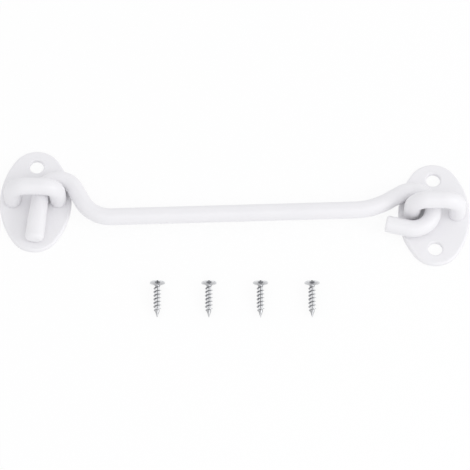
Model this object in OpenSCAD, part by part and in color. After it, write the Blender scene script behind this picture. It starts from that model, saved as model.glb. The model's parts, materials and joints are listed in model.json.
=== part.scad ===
// Hook and eye latch, lying flat with the backs of both plates on z = 0.
// A bent rod turns round one leg of the pivot staple and drops over one leg of the keeper staple.
// X runs along the latch from keeper to pivot, Y across it, Z out of the surface it is screwed to.
// The origin is the middle of the back of the pivot plate.

/* [Plates] */
// Thickness of an oval plate
plate_t = 1.8; // [1.5:0.1:3]
// Radius of the soft edge round the front of a plate
plate_edge_r = 0.9; // [0.3:0.1:1.2]
// Plate beyond the foot of a staple, along the latch
side_margin = 1.8; // [1.2:0.1:6]
// Plate beyond the rim of a screw hole, across the latch
end_margin = 3.4; // [2.4:0.1:10]

/* [Screw holes] */
// Distance between the two screw holes of a plate
hole_spacing = 27.4; // [24:0.2:44]
// Diameter of a screw hole
hole_d = 5; // [3.6:0.1:5]
// Room between the rim of a screw head and the rim of its countersink, on the diameter
sink_gap = 0.3; // [0.1:0.1:1]

/* [Staples] */
// Diameter of the round bar of the staples
bar_d = 6.1; // [5:0.1:8]
// Bend radius at the shoulders of a staple, at the middle of its bar
shoulder_r = 5.6; // [4.2:0.1:7]
// Room above the rod under the bar of a staple
headroom = 2.4; // [1:0.1:8]
// Room between the rod and the far leg of the pivot staple
far_leg_gap = 2.7; // [1.5:0.1:8]

/* [Riveted feet] */
// Width of the shoulder round the tenon that goes through the plate
foot_shoulder = 0.85; // [0.4:0.05:1.2]
// Depth of the rivet head that fills the countersink at the back of the plate
rivet_depth = 0.6; // [0.3:0.1:1]
// Clearance all round a tenon and its rivet head
rivet_gap = 0.05; // [0.02:0.01:0.1]

/* [Rod] */
// Diameter of the rod
rod_d = 6.1; // [5:0.1:7]
// Room between the rod and the plates
rod_lift = 0.3; // [0.2:0.1:1]
// Distance from the pivot leg to the keeper leg, along the latch
reach = 128; // [90:1:240]
// Height of the keeper above the pivot, across the latch
keeper_rise = 5.4; // [3:0.1:9]

/* [Pivot loop] */
// Room between the pivot leg and the loop round it
loop_gap = 1.4; // [0.5:0.1:2.2]
// Slope of the straight tail that ends the loop
tail_slope = 13.3; // [0:0.5:25]
// Length of the straight tail
tail_l = 8.1; // [3:0.1:9]
// Chamfer on the cut end of the tail
tail_chamfer = 0.8; // [0.2:0.1:1.5]
// Slope of the neck that leads into the loop
loop_neck_slope = 31.1; // [22:0.5:40]
// Length of that neck, from the loop to the corner of its bend
loop_neck_l = 12.1; // [10:0.1:20]
// Bend radius between that neck and the shank, at the middle of the rod
loop_neck_r = 25; // [8:0.5:30]

/* [Crook] */
// Room between the keeper leg and the neck side of the crook round it
crook_gap = 0.8; // [0.4:0.1:1.8]
// Room between the keeper leg and the tip side of the crook
tip_gap = 0.2; // [0.2:0.1:1.8]
// Slope of the neck that leads into the crook
crook_neck_slope = 61.3; // [50:0.5:70]
// Length of that neck, from the crook to the corner of its bend
crook_neck_l = 13.3; // [10:0.1:18]
// Bend radius between that neck and the shank, at the middle of the rod
crook_neck_r = 11.6; // [6:0.1:14]
// Lean of the tip away from the keeper leg
tip_lean = 5.5; // [0:0.5:8]
// Length of the straight tip
tip_l = 18.2; // [10:0.1:20]
// Radius of the rounded edge at the end of the tip
tip_edge_r = 1.5; // [0.3:0.1:2.2]

/* [Wood screws] */
// Diameter over the thread
screw_d = 2.9; // [2.2:0.1:3.4]
// Diameter of the countersunk head
screw_head_d = 5.5; // [5.2:0.1:7]
// Length from the top of the head to the point
screw_l = 13; // [10:0.5:25]
// Thickness of the rim of the head
screw_rim_t = 0.4; // [0.2:0.1:0.8]
// Length of the taper to the point
screw_point_l = 3; // [1.5:0.1:5]
// Diameter of the flat at the very point
screw_point_d = 0.4; // [0.2:0.1:1]
// Width of a slot of the cross recess
recess_slot_w = 0.8; // [0.4:0.1:1]
// Diameter across the cross recess
recess_d = 3; // [2:0.1:3.6]
// Depth of the cross recess
recess_depth = 1.2; // [0.6:0.1:1.6]
// Distance between one loose screw and the next
screw_spacing = 18.4; // [10:0.2:30]
// Distance from the pivot to the heads of the loose screws, across the latch
screw_row = 27.5; // [26:0.5:60]

/* [Hidden] */
$fn = 64;
paint = "whitesmoke";
zinc = "silver";
// Cuts run this far past the face they open in
over = 1;
// A bend of a bar and an end of a plate stop this hairline short of what follows, and their heart goes on
seam = 0.01;
core_l = 0.4;

bar_r = bar_d / 2;
rod_r = rod_d / 2;
loop_r = bar_r + loop_gap + rod_r;
crook_turn = 90 + crook_neck_slope - tip_lean;
// The crook's bend is centred this far off the keeper leg, towards its neck, so that each side has its own room
crook_play = (crook_gap - tip_gap) / (1 - cos(crook_turn));
crook_r = bar_r + crook_gap + rod_r - crook_play;
leg_spacing = loop_r + rod_r + far_leg_gap + bar_r;
sink_d = screw_head_d + sink_gap;
plate_w = leg_spacing + bar_d + 2 * side_margin;
plate_h = hole_spacing + sink_d + 2 * end_margin;
oval_part = (plate_h - plate_w) / 4;
oval_end_r = plate_w / 2 - oval_part;
oval_side_r = oval_end_r + 5 * oval_part;
// From the centre of an end arc to a point outside the plate, along the line where a side arc meets it
oval_ray = [0.8, 0.6] * plate_h;
eye_clear = rod_lift + rod_d + headroom;
tenon_d = bar_d - 2 * foot_shoulder;
rivet_d = tenon_d + 2 * rivet_depth;

// Places in the plane of the latch
pivot_leg = [-leg_spacing / 2, 0];
keeper_leg = pivot_leg + [-reach, keeper_rise];
keeper_plate_at = keeper_leg - [leg_spacing / 2, 0];
rod_z = plate_t + rod_lift + rod_r;

function heading(a) = [cos(a), sin(a)];

function seam_turn(r) = seam / r * 180 / PI;

// The rod's straight stretches meet at two corners, one below each neck
loop_corner = pivot_leg + loop_r * heading(90 + loop_neck_slope) - loop_neck_l * heading(loop_neck_slope);
crook_corner = keeper_leg + (crook_play + crook_r) * heading(90 - crook_neck_slope)
    + crook_neck_l * heading(-crook_neck_slope);
shank = loop_corner - crook_corner;
shank_slope = atan2(shank.y, shank.x);
loop_neck_turn = loop_neck_slope - shank_slope;
crook_neck_turn = crook_neck_slope + shank_slope;
// Each bend takes this much off the two straight stretches beside it
loop_neck_trim = loop_neck_r * tan(loop_neck_turn / 2);
crook_neck_trim = crook_neck_r * tan(crook_neck_turn / 2);
shank_l = norm(shank) - loop_neck_trim - crook_neck_trim;
loop_turn = 180 + loop_neck_slope + tail_slope;
tail_end = pivot_leg + loop_r * heading(-90 - tail_slope) - tail_l * heading(-tail_slope);

// A loose screw lies on the rim of its head and on the end of its full thread
screw_head_h = screw_rim_t + (screw_head_d - screw_d) / 2;
screw_full_l = screw_l - screw_point_l;
screw_tilt = atan((screw_head_d - screw_d) / 2 / (screw_full_l - screw_rim_t));
screw_axis_z = screw_head_d / 2 * cos(screw_tilt) + screw_rim_t * sin(screw_tilt);
// The middle of the row of screws lies below the middle of the latch
screw_count = 4;
screw_row_start = keeper_plate_at.x / 2 - (screw_count + 1) / 2 * screw_spacing;

// A straight length of round bar along +X, with what follows at its end
module straight(d, l) {
    rotate([0, 90, 0]) cylinder(d = d, h = l);
    translate([l, 0, 0]) children();
}

// A bend of round bar to the left, with what follows at its end
module bend_left(d, r, turn) {
    core(d);
    translate([0, r, 0]) {
        rotate(seam_turn(r) - 90) bent_bar(d, r, turn);
        rotate(turn) translate([0, -r, 0]) {
            core(d);
            children();
        }
    }
}

// A bend of round bar to the right, with what follows at its end
module bend_right(d, r, turn) {
    core(d);
    translate([0, -r, 0]) {
        rotate(90 - turn + seam_turn(r)) bent_bar(d, r, turn);
        rotate(-turn) translate([0, r, 0]) {
            core(d);
            children();
        }
    }
}

// The bent stretch itself, a hairline short at both ends
module bent_bar(d, r, turn) {
    rotate_extrude(angle = turn - 2 * seam_turn(r)) translate([r, 0]) circle(d = d);
}

// The heart of the bar across a hairline seam
module core(d) {
    rotate([0, 90, 0]) cylinder(d = d - 2 * seam, h = core_l, center = true);
}

// A cut end of round bar with a chamfer, with what follows at its end
module chamfered_end(d, c) {
    rotate([0, 90, 0]) cylinder(d1 = d - 2 * c, d2 = d, h = c);
    translate([c, 0, 0]) children();
}

// The last bit of a round bar, its rim rounded off
module rounded_end(d, r) {
    rotate([0, 90, 0]) rotate_extrude() intersection() {
        square([d / 2, r]);
        union() {
            square([d / 2 - r, r]);
            translate([d / 2 - r, 0]) circle(r = r);
        }
    }
}

// Oval plate with two countersunk screw holes and two holes for the feet of its staple
module plate() {
    difference() {
        oval();
        for (side = [-1, 1]) {
            translate([0, side * hole_spacing / 2, 0]) screw_hole();
            translate([side * leg_spacing / 2, 0, 0]) foot(rivet_gap, over);
        }
    }
}

// Four arcs whose centres lie 3 and 4 parts from the middle, so they meet along lines of slope 3 in 4
module oval() {
    for (flip = [0, 1]) {
        mirror([0, flip, 0]) translate([0, 3 * oval_part, 0]) {
            cylinder(r = oval_end_r - plate_edge_r - core_l, h = plate_t);
            intersection() {
                disc(oval_end_r);
                translate([0, seam, 0]) linear_extrude(plate_t)
                    polygon([[0, 0], oval_ray, [-oval_ray.x, oval_ray.y]]);
            }
        }
        mirror([flip, 0, 0]) intersection() {
            translate([-4 * oval_part, 0, 0]) disc(oval_side_r);
            translate([0, 3 * oval_part, 0]) linear_extrude(plate_t) polygon([
                [0, -6 * oval_part], [oval_ray.x, -6 * oval_part - oval_ray.y],
                oval_ray, [0, 0]
            ]);
        }
    }
}

// Round disc with the soft edge of a plate at the front
module disc(r) {
    rotate_extrude() {
        square([r - plate_edge_r, plate_t]);
        square([r, plate_t - plate_edge_r]);
        translate([r - plate_edge_r, plate_t - plate_edge_r]) intersection() {
            circle(r = plate_edge_r);
            square(plate_edge_r);
        }
    }
}

module screw_hole() {
    sink_depth = (sink_d - hole_d) / 2;
    translate([0, 0, -over]) cylinder(d = hole_d, h = plate_t + 2 * over);
    translate([0, 0, plate_t - sink_depth])
        cylinder(d1 = hole_d, d2 = sink_d + 2 * over, h = sink_depth + over);
}

// Tenon through the plate with its rivet head flush at the back; gap and past make the hole for it
module foot(gap = 0, past = 0) {
    translate([0, 0, -past]) cylinder(d = tenon_d + 2 * gap, h = plate_t + 2 * past);
    translate([0, 0, -past])
        cylinder(d1 = rivet_d + 2 * gap + 2 * past, d2 = tenon_d + 2 * gap, h = rivet_depth + past);
}

// Staple: two legs, two shoulders and the bar between them
module eye() {
    leg_l = eye_clear + bar_r - shoulder_r;
    bar_l = leg_spacing - 2 * shoulder_r;
    translate([-leg_spacing / 2, 0, plate_t]) rotate([90, 0, 0]) rotate(90)
        straight(bar_d, leg_l) bend_right(bar_d, shoulder_r, 90)
        straight(bar_d, bar_l) bend_right(bar_d, shoulder_r, 90)
        straight(bar_d, leg_l);
    for (side = [-1, 1]) translate([side * leg_spacing / 2, 0, 0]) foot();
}

// Countersunk screw along +Z from the top of its head, lying where its place in the row says
module screw(place) {
    translate([screw_row_start + place * screw_spacing, -screw_row, screw_axis_z])
        rotate([90 + screw_tilt, 0, 0]) difference() {
            rotate_extrude() polygon([
                [0, 0], [screw_head_d / 2, 0], [screw_head_d / 2, screw_rim_t],
                [screw_d / 2, screw_head_h], [screw_d / 2, screw_full_l],
                [screw_point_d / 2, screw_l], [0, screw_l]
            ]);
            cross_recess();
        }
}

// Two crossing slots that taper with depth
module cross_recess() {
    intersection() {
        cylinder(d1 = recess_d, d2 = recess_slot_w, h = recess_depth);
        for (turn = [0, 90])
            rotate(turn) translate([0, 0, recess_depth / 2 - over / 2])
                cube([recess_d + over, recess_slot_w, recess_depth + over], center = true);
    }
}

module keeper_plate() {
    color(paint) translate(keeper_plate_at) plate();
}

module keeper_eye() {
    color(paint) translate(keeper_plate_at) eye();
}

module pivot_plate() {
    color(paint) plate();
}

module pivot_eye() {
    color(paint) eye();
}

// The rod, bent in the order of its stretches from the tail of the loop to the tip of the crook
module hook() {
    color(paint) translate([tail_end.x, tail_end.y, rod_z]) rotate(-tail_slope)
        chamfered_end(rod_d, tail_chamfer) straight(rod_d, tail_l - tail_chamfer)
        bend_left(rod_d, loop_r, loop_turn)
        straight(rod_d, loop_neck_l - loop_neck_trim) bend_right(rod_d, loop_neck_r, loop_neck_turn)
        straight(rod_d, shank_l)
        bend_right(rod_d, crook_neck_r, crook_neck_turn) straight(rod_d, crook_neck_l - crook_neck_trim)
        bend_left(rod_d, crook_r, crook_turn)
        straight(rod_d, tip_l - tip_edge_r) rounded_end(rod_d, tip_edge_r);
}

module screw_1() {
    color(zinc) screw(1);
}

module screw_2() {
    color(zinc) screw(2);
}

module screw_3() {
    color(zinc) screw(3);
}

module screw_4() {
    color(zinc) screw(4);
}

keeper_plate();
keeper_eye();
pivot_plate();
pivot_eye();
hook();
screw_1();
screw_2();
screw_3();
screw_4();
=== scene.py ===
import json
from math import atan2, cos, degrees, pi, radians, sin, tan

import bpy
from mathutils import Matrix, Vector


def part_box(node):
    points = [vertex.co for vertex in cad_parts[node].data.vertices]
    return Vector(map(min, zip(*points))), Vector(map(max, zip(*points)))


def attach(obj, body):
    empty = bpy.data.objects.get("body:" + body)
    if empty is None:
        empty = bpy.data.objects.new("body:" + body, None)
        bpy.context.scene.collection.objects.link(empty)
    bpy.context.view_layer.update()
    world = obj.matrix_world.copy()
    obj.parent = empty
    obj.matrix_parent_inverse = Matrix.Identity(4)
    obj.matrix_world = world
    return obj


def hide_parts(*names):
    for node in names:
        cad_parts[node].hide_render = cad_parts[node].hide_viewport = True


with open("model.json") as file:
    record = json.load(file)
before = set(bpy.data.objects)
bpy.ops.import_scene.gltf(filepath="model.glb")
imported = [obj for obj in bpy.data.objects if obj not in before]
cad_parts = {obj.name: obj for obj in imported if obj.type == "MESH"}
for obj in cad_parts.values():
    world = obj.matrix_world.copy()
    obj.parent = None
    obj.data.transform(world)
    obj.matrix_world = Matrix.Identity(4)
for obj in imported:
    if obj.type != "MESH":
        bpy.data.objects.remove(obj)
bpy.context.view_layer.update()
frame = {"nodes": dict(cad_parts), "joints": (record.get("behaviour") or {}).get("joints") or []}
# pieces are given in millimetres and degrees, the studio in metres
mm = 0.001
weldGap = 0.001 * mm
sortSpot = Vector((7.3, 3.1, -5.9)) * mm
largeFaceWeight = 100
noiseSpan = (0.3, 0.7)  # where most values of a noise lie
bpy.context.scene.cursor.location = sortSpot
print("latch frame loaded,", len(frame["nodes"]), "solids")


def clearPicks():
    bpy.ops.object.select_all(action="DESELECT")


def pickPiece(piece):
    clearPicks()
    piece.select_set(True)
    bpy.context.view_layer.objects.active = piece


def openPiece(piece):
    pickPiece(piece)
    bpy.ops.object.mode_set(mode="EDIT")


def closePiece():
    bpy.ops.object.mode_set(mode="OBJECT")


# a new primitive gets its name and size, its place goes into its mesh, and edit mode opens
def openNew(name, stretch=(1, 1, 1)):
    piece = bpy.context.object
    piece.name = name
    piece.scale = stretch
    bpy.ops.object.transform_apply(location=True, rotation=True, scale=True)
    bpy.ops.object.mode_set(mode="EDIT")
    return piece


def pickAll():
    bpy.ops.mesh.select_all(action="SELECT")


# picks are made in object mode, then edit mode comes back with them
def pickFaces(piece, wanted):
    bpy.ops.mesh.select_mode(type="FACE")
    bpy.ops.mesh.select_all(action="DESELECT")
    closePiece()
    for face in piece.data.polygons:
        face.select = wanted(face)
    bpy.ops.object.mode_set(mode="EDIT")


def pickEdges(piece, wanted):
    bpy.ops.mesh.select_mode(type="EDGE")
    bpy.ops.mesh.select_all(action="DESELECT")
    closePiece()
    points = piece.data.vertices
    for edge in piece.data.edges:
        edge.select = all(wanted(points[i].co) for i in edge.vertices)
    bpy.ops.object.mode_set(mode="EDIT")


def roundEdges(width, steps):
    bpy.ops.mesh.bevel(offset=width * mm, segments=steps, affect="EDGES")


# the order of points and faces can change from run to run, so it is set from one spot
def sortMesh():
    bpy.ops.mesh.sort_elements(type="CURSOR_DISTANCE", elements={"VERT", "EDGE", "FACE"})


def weldAndTurnOut():
    bpy.ops.mesh.select_mode(type="VERT")
    pickAll()
    bpy.ops.mesh.remove_doubles(threshold=weldGap)
    sortMesh()
    bpy.ops.mesh.normals_make_consistent(inside=False)


def capAndWeld():
    pickAll()
    bpy.ops.mesh.fill_holes(sides=0)
    weldAndTurnOut()


def startRing(name, radius, sides, place, turned=(0, 0, 0)):
    clearPicks()
    bpy.ops.mesh.primitive_circle_add(
        vertices=sides, radius=radius * mm, location=place, rotation=turned)
    ring = openNew(name)
    pickAll()
    return ring


def startPoint(name, place):
    clearPicks()
    bpy.ops.mesh.primitive_plane_add(size=mm, location=place)
    point = openNew(name)
    bpy.ops.mesh.merge(type="CENTER")
    return point


def pushOn(step):
    bpy.ops.mesh.extrude_region_move(TRANSFORM_OT_translate={"value": step})


def pushAndSize(step, centre, ratio):
    pushOn(step)
    bpy.ops.transform.resize(value=(ratio,) * 3, center_override=centre)


def bendRound(turn, centre, axis, steps):
    # spin turns clockwise for a positive angle
    bpy.ops.mesh.spin(steps=steps, angle=-radians(turn), center=centre, axis=axis)


def applyModifier(piece, kind, **settings):
    pickPiece(piece)
    bpy.ops.object.modifier_add(type=kind)
    modifier = piece.modifiers[-1]
    for key, value in settings.items():
        setattr(modifier, key, value)
    bpy.ops.object.modifier_apply(modifier=modifier.name)


def cutOrJoin(piece, tool, operation):
    applyModifier(piece, "BOOLEAN", object=tool, operation=operation, solver="EXACT")
    bpy.data.objects.remove(tool)


def smoothPiece(piece, sharpAngle):
    pickPiece(piece)
    bpy.ops.object.shade_smooth_by_angle(angle=radians(sharpAngle))
    applyModifier(piece, "WEIGHTED_NORMAL", keep_sharp=True, weight=largeFaceWeight)


def handOver(piece, finish, body, node):
    piece.data.materials.clear()
    piece.data.materials.append(finish)
    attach(piece, body)
    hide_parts(node)


def middleOf(node):
    low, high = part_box(node)
    return Vector(((low.x + high.x) / 2, (low.y + high.y) / 2, 0))


def heading(angle):
    return Vector((cos(radians(angle)), sin(radians(angle)), 0))


def clamp(value):
    return min(1, max(0, value))


def between(first, second, share):
    return first + (second - first) * share


# finishes: each noise is a scale and a detail
coatLook = {
    "paint": (0.888, 0.883, 0.9), "paintShade": (0.868, 0.863, 0.883), "tintNoise": (55, 3),
    "roughNoise": (240, 2), "roughLow": 0.34, "roughHigh": 0.46,
    "bumpNoise": (950, 2), "bumpDepth": 0.03, "bumpStrength": 0.6,  # orange peel
}
zincLook = {
    "bright": (0.86, 0.865, 0.88), "dull": (0.66, 0.67, 0.69), "mottleNoise": (900, 4),
    # deep is the colour of the painted shade and painted reflection in grooves, recess, neck and
    # point
    "deep": (0.09, 0.092, 0.1), "metallic": 1,
    "roughNoise": (1600, 3), "roughLow": 0.1, "roughHigh": 0.24,
    "bumpNoise": (5200, 2), "bumpDepth": 0.004, "bumpStrength": 0.25,  # fine grain
}


def newFinish(name):
    finish = bpy.data.materials.new(name)
    finish.use_nodes = True
    tree = finish.node_tree
    shader = tree.nodes["Principled BSDF"]
    place = tree.nodes.new("ShaderNodeTexCoord")
    return finish, tree, shader, place.outputs["Object"]


def addNoise(tree, place, scale, detail):
    noise = tree.nodes.new("ShaderNodeTexNoise")
    noise.inputs["Scale"].default_value = scale
    noise.inputs["Detail"].default_value = detail
    tree.links.new(place, noise.inputs["Vector"])
    return noise.outputs["Fac"]


def addBlend(tree, share, first, second):
    blend = tree.nodes.new("ShaderNodeMix")
    blend.data_type = "RGBA"
    if isinstance(first, tuple):
        blend.inputs["A"].default_value = (*first, 1)
    else:
        tree.links.new(first, blend.inputs["A"])
    blend.inputs["B"].default_value = (*second, 1)
    tree.links.new(share, blend.inputs["Factor"])
    return blend.outputs["Result"]


def addRange(tree, share, low, high):
    spread = tree.nodes.new("ShaderNodeMapRange")
    spread.inputs["From Min"].default_value = noiseSpan[0]
    spread.inputs["From Max"].default_value = noiseSpan[1]
    spread.inputs["To Min"].default_value = low
    spread.inputs["To Max"].default_value = high
    tree.links.new(share, spread.inputs["Value"])
    return spread.outputs["Result"]


def addBump(tree, height, depth, strength):
    bump = tree.nodes.new("ShaderNodeBump")
    bump.inputs["Strength"].default_value = strength
    bump.inputs["Distance"].default_value = depth * mm
    tree.links.new(height, bump.inputs["Height"])
    return bump.outputs["Normal"]


def dressShader(tree, shader, place, look, colour):
    roughShare = addNoise(tree, place, *look["roughNoise"])
    rough = addRange(tree, roughShare, look["roughLow"], look["roughHigh"])
    height = addNoise(tree, place, *look["bumpNoise"])
    normal = addBump(tree, height, look["bumpDepth"], look["bumpStrength"])
    tree.links.new(colour, shader.inputs["Base Color"])
    tree.links.new(rough, shader.inputs["Roughness"])
    tree.links.new(normal, shader.inputs["Normal"])


def makeCoat(look):
    finish, tree, shader, place = newFinish("whitePowderCoat")
    tint = addRange(tree, addNoise(tree, place, *look["tintNoise"]), 0, 1)
    colour = addBlend(tree, tint, look["paint"], look["paintShade"])
    dressShader(tree, shader, place, look, colour)
    return finish


def makeZinc(look):
    finish, tree, shader, place = newFinish("zincPlate")
    mottle = addRange(tree, addNoise(tree, place, *look["mottleNoise"]), 0, 1)
    colour = addBlend(tree, mottle, look["bright"], look["dull"])
    # painted shade: the groove attribute blends the zinc towards the deep colour in the thread
    # flanks, neck, recess and point
    groove = tree.nodes.new("ShaderNodeAttribute")
    groove.attribute_name = "paintedGrooveShade"
    colour = addBlend(tree, groove.outputs["Fac"], colour, look["deep"])
    dressShader(tree, shader, place, look, colour)
    shader.inputs["Metallic"].default_value = look["metallic"]
    return finish


coat = makeCoat(coatLook)
zinc = makeZinc(zincLook)
print("finishes ready")

# oval plates: four arcs, a soft front edge and four holes
ovalPlate = {
    "thick": 1.8, "endRadius": 9.5, "endCentre": 10.5, "sideCentre": 14,
    "endSteps": 36, "sideSteps": 32,
    "frontEdge": 0.9, "frontSteps": 8, "backEdge": 0.15, "backSteps": 2,
    "holeGap": 27.4, "holeRadius": 2.6, "sinkRadius": 2.95, "lip": 0.22, "lipSteps": 3,
    "footGap": 16.3, "tenonRadius": 2.25, "rivetRadius": 2.85,
    "sides": 72, "clear": 1, "sharpAngle": 38,
}


# a cutter along +Z that widens by 45 degrees at one end of the plate
def flaredCutter(place, radius, wideRadius, wideAtFront, size):
    low, high = -size["clear"], size["thick"] + size["clear"]
    flare = wideRadius - radius
    wideEnd = wideRadius + size["clear"]
    if wideAtFront:
        stops = [(low, radius), (size["thick"] - flare, radius), (high, wideEnd)]
    else:
        stops = [(low, wideEnd), (flare, radius), (high, radius)]
    lastZ, lastRadius = stops[0]
    start = place + Vector((0, 0, lastZ * mm))
    cutter = startRing("cutter", lastRadius, size["sides"], start)
    for z, r in stops[1:]:
        centre = place + Vector((0, 0, z * mm))
        pushAndSize((0, 0, (z - lastZ) * mm), centre, r / lastRadius)
        lastZ, lastRadius = z, r
    capAndWeld()
    closePiece()
    return cutter


def makeOvalPlate(name, node, size):
    middle = middleOf(node)
    top = size["thick"] * mm

    def at(x, y):
        return middle + Vector((x, y, 0)) * mm

    # the arcs meet on the lines through their centres
    lean = degrees(atan2(size["endCentre"], size["sideCentre"]))
    meet = at(0, size["endCentre"]) + heading(lean) * size["endRadius"] * mm
    endArc = (180 - 2 * lean, size["endSteps"])
    sideArc = (2 * lean, size["sideSteps"])
    arcs = (
        (at(0, size["endCentre"]), *endArc), (at(size["sideCentre"], 0), *sideArc),
        (at(0, -size["endCentre"]), *endArc), (at(-size["sideCentre"], 0), *sideArc),
    )
    plate = startPoint(name, meet)
    for centre, turn, steps in arcs:
        bendRound(turn, centre, (0, 0, 1), steps)
    weldAndTurnOut()
    bpy.ops.mesh.edge_face_add()
    pushOn((0, 0, top))
    weldAndTurnOut()
    pickEdges(plate, lambda co: co.z > top - weldGap)
    roundEdges(size["frontEdge"], size["frontSteps"])
    pickEdges(plate, lambda co: co.z < weldGap)
    roundEdges(size["backEdge"], size["backSteps"])
    closePiece()
    holes = [at(0, side * size["holeGap"] / 2) for side in (-1, 1)]
    feet = [at(side * size["footGap"] / 2, 0) for side in (-1, 1)]
    for place in holes:
        tool = flaredCutter(place, size["holeRadius"], size["sinkRadius"], True, size)
        cutOrJoin(plate, tool, "DIFFERENCE")
    for place in feet:
        tool = flaredCutter(place, size["tenonRadius"], size["rivetRadius"], False, size)
        cutOrJoin(plate, tool, "DIFFERENCE")
    rim = (size["sinkRadius"] + size["lip"]) * mm
    openPiece(plate)
    pickEdges(plate, lambda co: co.z > top - weldGap
              and any((co - place).to_2d().length < rim for place in holes))
    roundEdges(size["lip"], size["lipSteps"])
    weldAndTurnOut()
    closePiece()
    smoothPiece(plate, size["sharpAngle"])
    handOver(plate, coat, "plates", node)
    print(name, "made,", len(plate.data.polygons), "faces")


makeOvalPlate("keeperOval", "keeper_plate", ovalPlate)
makeOvalPlate("pivotOval", "pivot_plate", ovalPlate)

# staples: one bar from rivet to rivet, over both shoulders
staple = {
    "radius": 3.05, "sides": 64, "legGap": 16.3, "plateTop": 1.8, "legStraight": 6.25,
    "shoulder": 5.6, "shoulderTurn": 90, "shoulderSteps": 24,
    "tenonRadius": 2.2, "rivetRadius": 2.8, "rivetDeep": 0.6,
    "footRadius": 2.45, "footRise": 0.45, "sharpAngle": 32,
}


def followFoot(stops, leg):
    for (z0, r0), (z1, r1) in zip(stops, stops[1:]):
        pushAndSize((0, 0, (z1 - z0) * mm), leg + Vector((0, 0, z1 * mm)), r1 / r0)


def makeStaple(name, node, size):
    middle = middleOf(node)
    left = middle - Vector((size["legGap"] / 2, 0, 0)) * mm
    right = middle + Vector((size["legGap"] / 2, 0, 0)) * mm
    plateTop = size["plateTop"]
    footTop = plateTop + size["footRise"]
    shoulderZ = plateTop + size["legStraight"]
    # height and radius from the rivet head up to the full bar
    foot = (
        (0, size["rivetRadius"]), (size["rivetDeep"], size["tenonRadius"]),
        (plateTop, size["tenonRadius"]), (plateTop, size["footRadius"]),
        (footTop, size["radius"]),
    )
    bar = startRing(name, size["rivetRadius"], size["sides"], left)
    followFoot(foot, left)
    pushOn((0, 0, (shoulderZ - footTop) * mm))
    inset = Vector((size["shoulder"], 0, shoulderZ)) * mm
    bendRound(size["shoulderTurn"], left + inset, (0, 1, 0), size["shoulderSteps"])
    pushOn(((size["legGap"] - 2 * size["shoulder"]) * mm, 0, 0))
    inset.x = -inset.x
    bendRound(size["shoulderTurn"], right + inset, (0, 1, 0), size["shoulderSteps"])
    pushOn((0, 0, (footTop - shoulderZ) * mm))
    followFoot(foot[::-1], right)
    capAndWeld()
    closePiece()
    smoothPiece(bar, size["sharpAngle"])
    handOver(bar, coat, "plates", node)
    print(name, "made,", len(bar.data.polygons), "faces")


makeStaple("keeperStaple", "keeper_eye", staple)
makeStaple("pivotStaple", "pivot_eye", staple)

# hook: one rod from the tail of the loop to the tip of the crook
hookRod = {
    "radius": 3.05, "barRadius": 3.05, "sides": 64, "degreesPerStep": 4, "sharpAngle": 32,
    "tailSlope": 13.3, "tailLength": 8.1, "tailChamfer": 0.8, "tailSteps": 3,
    "loopGap": 1.4, "loopNeckSlope": 31.1, "loopNeckLength": 12.1, "loopNeckRadius": 25,
    "crookGap": 0.8, "tipGap": 0.2, "tipLean": 5.5,
    "crookNeckSlope": 61.3, "crookNeckLength": 13.3, "crookNeckRadius": 11.6,
    "tipLength": 18.2, "tipRound": 1.5, "tipSteps": 8,
    "flareLength": 11, "flareSteps": 12, "tipWide": 1.1, "tipThick": 0.94,
}


# the tail's place, then straight lengths, and bends as a radius and a turn to the left
def planHook(size):
    pivotLeg = Vector(frame["joints"][0]["pos_m"]) / mm
    keeperLeg = middleOf("keeper_eye") / mm
    keeperLeg.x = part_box("keeper_eye")[1].x / mm - size["barRadius"]
    keeperLeg.z = pivotLeg.z
    loopSlope, crookSlope = size["loopNeckSlope"], size["crookNeckSlope"]
    reach = size["barRadius"] + size["radius"]
    loopRadius = reach + size["loopGap"]
    crookTurn = 90 + crookSlope - size["tipLean"]
    # the crook is centred off the keeper's leg, so that its neck and tip have their own gaps
    play = (size["crookGap"] - size["tipGap"]) / (1 - cos(radians(crookTurn)))
    crookRadius = reach + size["crookGap"] - play
    tail = (pivotLeg + heading(-90 - size["tailSlope"]) * loopRadius
            - heading(-size["tailSlope"]) * size["tailLength"])
    loopCorner = (pivotLeg + heading(90 + loopSlope) * loopRadius
                  - heading(loopSlope) * size["loopNeckLength"])
    crookCorner = (keeperLeg + heading(90 - crookSlope) * (play + crookRadius)
                   + heading(-crookSlope) * size["crookNeckLength"])
    shank = loopCorner - crookCorner
    shankSlope = degrees(atan2(shank.y, shank.x))
    loopNeckTurn = loopSlope - shankSlope
    crookNeckTurn = crookSlope + shankSlope
    # each neck's bend takes this much from the straights beside it
    loopTrim = size["loopNeckRadius"] * tan(radians(loopNeckTurn / 2))
    crookTrim = size["crookNeckRadius"] * tan(radians(crookNeckTurn / 2))
    route = (
        (size["tailLength"],), (loopRadius, 180 + loopSlope + size["tailSlope"]),
        (size["loopNeckLength"] - loopTrim,), (size["loopNeckRadius"], -loopNeckTurn),
        (shank.length - loopTrim - crookTrim,), (size["crookNeckRadius"], -crookNeckTurn),
        (size["crookNeckLength"] - crookTrim,), (crookRadius, crookTurn),
    )
    return tail * mm, route


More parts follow.
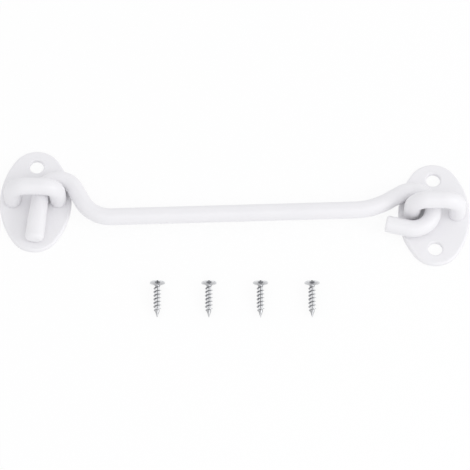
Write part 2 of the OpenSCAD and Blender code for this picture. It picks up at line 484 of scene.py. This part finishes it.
def makeHook(name, node, size):
    tail, route = planHook(size)
    spot = tail.copy()
    way = -size["tailSlope"]
    rod = startRing(name, size["radius"], size["sides"], spot, (0, pi / 2, radians(way)))
    for stretch in route:
        if len(stretch) == 1:
            step = heading(way) * stretch[0] * mm
            pushOn(step)
            spot += step
            continue
        bendRadius, turn = stretch
        side = 90 if turn > 0 else -90
        centre = spot + heading(way + side) * bendRadius * mm
        bendRound(turn, centre, (0, 0, 1), round(abs(turn) / size["degreesPerStep"]))
        way += turn
        spot = centre - heading(way + side) * bendRadius * mm
    # the tip is pressed a little wider and flatter towards its end
    step = heading(way) * size["flareLength"] / size["flareSteps"] * mm
    wide, thick = (size[end] ** (1 / size["flareSteps"]) for end in ("tipWide", "tipThick"))
    for press in range(size["flareSteps"]):
        pushOn(step)
        spot += step
        bpy.ops.transform.resize(value=(wide, 1, thick), center_override=spot)
    step = heading(way) * (size["tipLength"] - size["flareLength"]) * mm
    pushOn(step)
    spot += step
    capAndWeld()
    ends = (
        (tail, size["tailChamfer"], size["tailSteps"]),
        (spot, size["tipRound"], size["tipSteps"]),
    )
    for end, width, steps in ends:
        pickFaces(rod, lambda face: len(face.vertices) == size["sides"]
                  and (face.center - end).length < mm)
        bpy.ops.mesh.region_to_loop()
        roundEdges(width, steps)
    weldAndTurnOut()
    closePiece()
    smoothPiece(rod, size["sharpAngle"])
    handOver(rod, coat, "hook", node)
    print(name, "made,", len(rod.data.polygons), "faces")


makeHook("hookRod", "hook", hookRod)

# wood screws: head, core and point turned from one profile, with a thread wound round it
woodScrew = {
    "length": 13, "headRadius": 2.75, "rim": 0.4, "topEdge": 0.1, "sides": 48, "sharpAngle": 30,
    "underHead": ((2.3, 0.55), (1.6, 0.73), (1.12, 1.02), (0.91, 1.4)), "neck": 1.85,
    "coreRadius": 0.82, "pointStart": 10.7, "pointRadius": 0.06,
    "crestRadius": 1.45, "pitch": 1.36, "turns": 7.3, "threadStart": 1.6,
    "riseStart": 1.5, "riseLong": 0.9, "fadeStart": 10, "fadeEnd": 11.5, "threadSteps": 40,
    "baseWide": 0.64, "crestWide": 0.1, "sunk": 0.2,
    "slotWide": 0.8, "slotReach": 1.55, "slotDeep": 1.2, "slotNarrow": 0.42,
    "above": 0.1, "facing": 0.9, "weld": 0.012,
    # painted shade strengths, from 0 for the bright metal to 1 for the full painted shade colour
    "rootShade": 0.78, "crestShade": 0.22, "neckShade": 0.62, "rimShade": 0.08,
    "recessShade": 0.75, "pointShade": 0.5, "shadeGap": 0.05, "flankTilt": 0.6, "neckCurve": 0.5,
    "count": 4, "spacing": 18.4, "rowMiddle": -72.15, "rowY": -27.5, "restLength": 10,
}


def makeScrewCore(size):
    profile = (
        (0, 0), (size["headRadius"] - size["topEdge"], 0), (size["headRadius"], size["topEdge"]),
        (size["headRadius"], size["rim"]), *size["underHead"],
        (size["coreRadius"], size["neck"]), (size["coreRadius"], size["pointStart"]),
        (size["pointRadius"], size["length"]), (0, size["length"]),
    )
    core = startPoint("screwCore", (0, 0, 0))
    for (r0, z0), (r1, z1) in zip(profile, profile[1:]):
        pushOn(((r1 - r0) * mm, 0, (z1 - z0) * mm))
    pickAll()
    bpy.ops.mesh.spin(steps=size["sides"], angle=2 * pi, center=(0, 0, 0), axis=(0, 0, 1))
    weldAndTurnOut()
    closePiece()
    return core


def makeThread(size):
    inner = size["coreRadius"] - size["sunk"]
    high = size["crestRadius"] - inner
    clearPicks()
    bpy.ops.mesh.primitive_plane_add(
        size=mm, rotation=(pi / 2, 0, 0),
        location=((inner + high / 2) * mm, 0, size["threadStart"] * mm))
    thread = openNew("thread", (high, size["baseWide"], 1))
    outer = (size["crestRadius"] - size["sunk"]) * mm
    pickEdges(thread, lambda co: co.x > outer)
    bpy.ops.transform.resize(
        value=(1, 1, size["crestWide"] / size["baseWide"]),
        center_override=(size["crestRadius"] * mm, 0, size["threadStart"] * mm))
    pickAll()
    bpy.ops.mesh.delete(type="ONLY_FACE")
    closePiece()
    steps = round(size["threadSteps"] * size["turns"])
    applyModifier(
        thread, "SCREW", axis="Z", angle=2 * pi * size["turns"],
        screw_offset=size["pitch"] * size["turns"] * mm,
        steps=steps, render_steps=steps, use_merge_vertices=False)
    openPiece(thread)
    capAndWeld()
    closePiece()
    # the thread rises out of the neck, shrinks with the point and runs out into it
    fadeLong = size["fadeEnd"] - size["fadeStart"]
    pointLong = size["length"] - size["pointStart"]
    pointRatio = size["pointRadius"] / size["coreRadius"]
    for point in thread.data.vertices:
        z = point.co.z / mm
        pointed = max(0, (z - size["pointStart"]) / pointLong)
        risen = (z - size["riseStart"]) / size["riseLong"]
        faded = clamp(max((z - size["fadeStart"]) / fadeLong, 1 - risen))
        innerRatio = inner * mm / point.co.to_2d().length
        narrow = between(1, pointRatio, pointed) * between(1, innerRatio, faded)
        point.co.x *= narrow
        point.co.y *= narrow
    return thread


def makeRecessTool(size):
    clearPicks()
    bpy.ops.mesh.primitive_cube_add(
        size=mm, location=(0, 0, (size["slotDeep"] - size["above"]) / 2 * mm))
    deep = size["slotDeep"] + size["above"]
    tool = openNew("recess", (size["slotWide"], size["slotWide"], deep))
    reach = size["slotReach"] - size["slotWide"] / 2
    for x, y in ((1, 0), (0, 1), (-1, 0), (0, -1)):
        way = Vector((x, y, 0))
        # only the end of an arm lies on its own axis, the sides of the others don't
        pickFaces(tool, lambda face: face.normal.dot(way) > size["facing"]
                  and abs(face.center.cross(way).z) < weldGap)
        pushOn(way * reach * mm)
    deepest = (size["slotDeep"] - size["above"] / 2) * mm
    pickEdges(tool, lambda co: co.z > deepest)
    bpy.ops.transform.resize(
        value=(size["slotNarrow"], size["slotNarrow"], 1),
        center_override=(0, 0, size["slotDeep"] * mm))
    weldAndTurnOut()
    closePiece()
    return tool


# painted shade and painted reflection: thread flanks, the neck, the recess and the point are
# painted darker than the head and the core, in place of the shade and dark reflections that fall
# in them
def shadeGrooves(screw, size):
    mesh = screw.data
    shade = mesh.attributes.new("paintedGrooveShade", "FLOAT", "CORNER")
    rim, neck, gap = size["rim"], size["neck"], size["shadeGap"]
    core, crest = size["coreRadius"], size["crestRadius"]
    for face in mesh.polygons:
        middle = face.center / mm
        sunkShare = (middle.z + size["above"]) / (size["slotDeep"] + size["above"])
        recessReach = size["slotReach"] * between(1, size["slotNarrow"], sunkShare)
        inRecess = middle.z > gap and middle.to_2d().length < recessReach + gap
        onFlank = abs(face.normal.z) > size["flankTilt"] and middle.z > rim
        onNeck = rim < middle.z < neck
        for corner in face.loop_indices:
            place = mesh.vertices[mesh.loops[corner].vertex_index].co / mm
            reach = place.to_2d().length
            if inRecess:
                value = size["recessShade"]
            elif onFlank and reach < crest + gap and place.z > size["threadStart"]:
                out = (reach - core) / (crest - core)
                faded = (place.z - size["fadeStart"]) / (size["fadeEnd"] - size["fadeStart"])
                value = between(size["rootShade"], size["crestShade"], out)
                value = between(value, size["pointShade"], clamp(faded))
            elif onNeck and reach > core - gap:
                down = max(0, (place.z - rim) / (neck - rim)) ** size["neckCurve"]
                value = between(size["rimShade"], size["neckShade"], down)
            elif place.z > size["pointStart"] - gap:
                value = size["pointShade"]
            else:
                value = 0
            shade.data[corner].value = clamp(value)


def makeScrews(size):
    master = makeScrewCore(size)
    cutOrJoin(master, makeThread(size), "UNION")
    cutOrJoin(master, makeRecessTool(size), "DIFFERENCE")
    openPiece(master)
    pickAll()
    sortMesh()
    # merges the slivers that the cuts leave
    bpy.ops.mesh.remove_doubles(threshold=size["weld"] * mm)
    bpy.ops.mesh.dissolve_degenerate(threshold=size["weld"] * mm)
    weldAndTurnOut()
    closePiece()
    shadeGrooves(master, size)
    # a screw lies on the rim of its head and the end of its full thread
    tilt = atan2(size["headRadius"] - size["crestRadius"], size["restLength"] - size["rim"])
    axisHeight = size["headRadius"] * cos(tilt) + size["rim"] * sin(tilt)
    firstX = size["rowMiddle"] - size["spacing"] * (size["count"] - 1) / 2
    for done in range(size["count"]):
        pickPiece(master)
        bpy.ops.object.duplicate(linked=False)
        screw = bpy.context.object
        screw.name = "woodScrew%d" % (done + 1)
        across = firstX + done * size["spacing"]
        screw.rotation_euler = (pi / 2 + tilt, 0, 0)
        screw.location = Vector((across, size["rowY"], axisHeight)) * mm
        bpy.ops.object.transform_apply(location=True, rotation=True, scale=True)
        smoothPiece(screw, size["sharpAngle"])
        handOver(screw, zinc, "plates", "screw_%d" % (done + 1))
    print("screws made,", len(master.data.polygons), "faces each")
    bpy.data.objects.remove(master)


makeScrews(woodScrew)

# studio: pale floor, soft light, camera where the photo was taken from
studio = {
    "floorSize": 6, "floorDrop": 0.00005, "floorPaint": (0.97, 0.97, 0.97), "floorGlow": 0.88,
    "ambient": (0.99, 0.988, 1.0), "ambientStrength": 0.836,
    "backdrop": (1, 1, 1), "backdropStrength": 1,
    "lamps": (  # name, place, width and power
        ("frontSoftbox", (0.15, -0.55, 1.0), 0.8, 1.3),
        ("sideLamp", (0.85, -0.3, 0.6), 0.5, 2.2),
    ),
    "cardPlace": (-0.072, 0.2, 1.18), "cardWide": 0.5, "cardLong": 0.9,
    "cardPaint": (0.04, 0.04, 0.04),
    "aim": (-0.07206, -0.00758, 0), "elevation": 65, "distance": 1.0108,
    "lens": 214.47, "sensor": 36,
}


def turnTo(aim, place):
    return (Vector(aim) - Vector(place)).to_track_quat("-Z", "Y").to_euler()


# 1 where the camera, a reflection or a see-through ray looks, 0 for light
def seenShare(tree):
    path = tree.nodes.new("ShaderNodeLightPath")
    share = path.outputs["Is Camera Ray"]
    for ray in ("Is Glossy Ray", "Is Transmission Ray"):
        either = tree.nodes.new("ShaderNodeMath")
        either.operation = "MAXIMUM"
        tree.links.new(share, either.inputs[0])
        tree.links.new(path.outputs[ray], either.inputs[1])
        share = either.outputs["Value"]
    return share


def makeFloor(look):
    clearPicks()
    bpy.ops.mesh.primitive_plane_add(
        size=look["floorSize"], location=(0, 0, -look["floorDrop"]))
    floor = bpy.context.object
    floor.name = "paleFloor"
    finish = bpy.data.materials.new("paleFloor")
    finish.use_nodes = True
    tree = finish.node_tree
    tree.nodes.remove(tree.nodes["Principled BSDF"])
    matt = tree.nodes.new("ShaderNodeBsdfDiffuse")
    matt.inputs["Color"].default_value = (*look["floorPaint"], 1)
    glow = tree.nodes.new("ShaderNodeEmission")
    part = tree.nodes.new("ShaderNodeMath")
    part.operation = "MULTIPLY"
    part.inputs[1].default_value = look["floorGlow"]
    tree.links.new(seenShare(tree), part.inputs[0])
    mix = tree.nodes.new("ShaderNodeMixShader")
    tree.links.new(part.outputs["Value"], mix.inputs["Fac"])
    tree.links.new(matt.outputs["BSDF"], mix.inputs[1])
    tree.links.new(glow.outputs["Emission"], mix.inputs[2])
    tree.links.new(mix.outputs["Shader"], tree.nodes["Material Output"].inputs["Surface"])
    floor.data.materials.append(finish)


def makeSky(look):
    world = bpy.data.worlds.new("softRoom")
    bpy.context.scene.world = world
    world.use_nodes = True
    tree = world.node_tree
    soft = tree.nodes["Background"]
    soft.inputs["Color"].default_value = (*look["ambient"], 1)
    soft.inputs["Strength"].default_value = look["ambientStrength"]
    white = tree.nodes.new("ShaderNodeBackground")
    white.inputs["Color"].default_value = (*look["backdrop"], 1)
    white.inputs["Strength"].default_value = look["backdropStrength"]
    mix = tree.nodes.new("ShaderNodeMixShader")
    tree.links.new(seenShare(tree), mix.inputs["Fac"])
    tree.links.new(soft.outputs["Background"], mix.inputs[1])
    tree.links.new(white.outputs["Background"], mix.inputs[2])
    tree.links.new(mix.outputs["Shader"], tree.nodes["World Output"].inputs["Surface"])


def makeLamp(name, place, width, power, aim):
    clearPicks()
    bpy.ops.object.light_add(type="AREA", location=place)
    lamp = bpy.context.object
    lamp.name = name
    lamp.data.size = width
    lamp.data.energy = power
    lamp.rotation_euler = turnTo(aim, place)


# a dark card overhead, seen only in reflections, draws the dark line along the zinc
def makeCard(look):
    clearPicks()
    bpy.ops.mesh.primitive_plane_add(size=1, location=look["cardPlace"])
    card = bpy.context.object
    card.name = "darkCard"
    card.scale = (look["cardWide"], look["cardLong"], 1)
    card.rotation_euler = turnTo(look["aim"], look["cardPlace"])
    card.visible_camera = False
    card.visible_diffuse = False
    card.visible_shadow = False
    finish = bpy.data.materials.new("darkCard")
    finish.use_nodes = True
    shader = finish.node_tree.nodes["Principled BSDF"]
    shader.inputs["Base Color"].default_value = (*look["cardPaint"], 1)
    card.data.materials.append(finish)


def makeCamera(look):
    clearPicks()
    rise = radians(look["elevation"])
    back = Vector((0, -cos(rise), sin(rise)))
    bpy.ops.object.camera_add(
        location=Vector(look["aim"]) + back * look["distance"],
        rotation=(pi / 2 - rise, 0, 0))
    camera = bpy.context.object
    camera.data.sensor_width = look["sensor"]
    camera.data.lens = look["lens"]
    bpy.context.scene.camera = camera


makeFloor(studio)
makeSky(studio)
for name, place, width, power in studio["lamps"]:
    makeLamp(name, place, width, power, studio["aim"])
makeCard(studio)
makeCamera(studio)
bpy.context.scene.view_settings.view_transform = "Standard"
print("studio ready")

clearPicks()
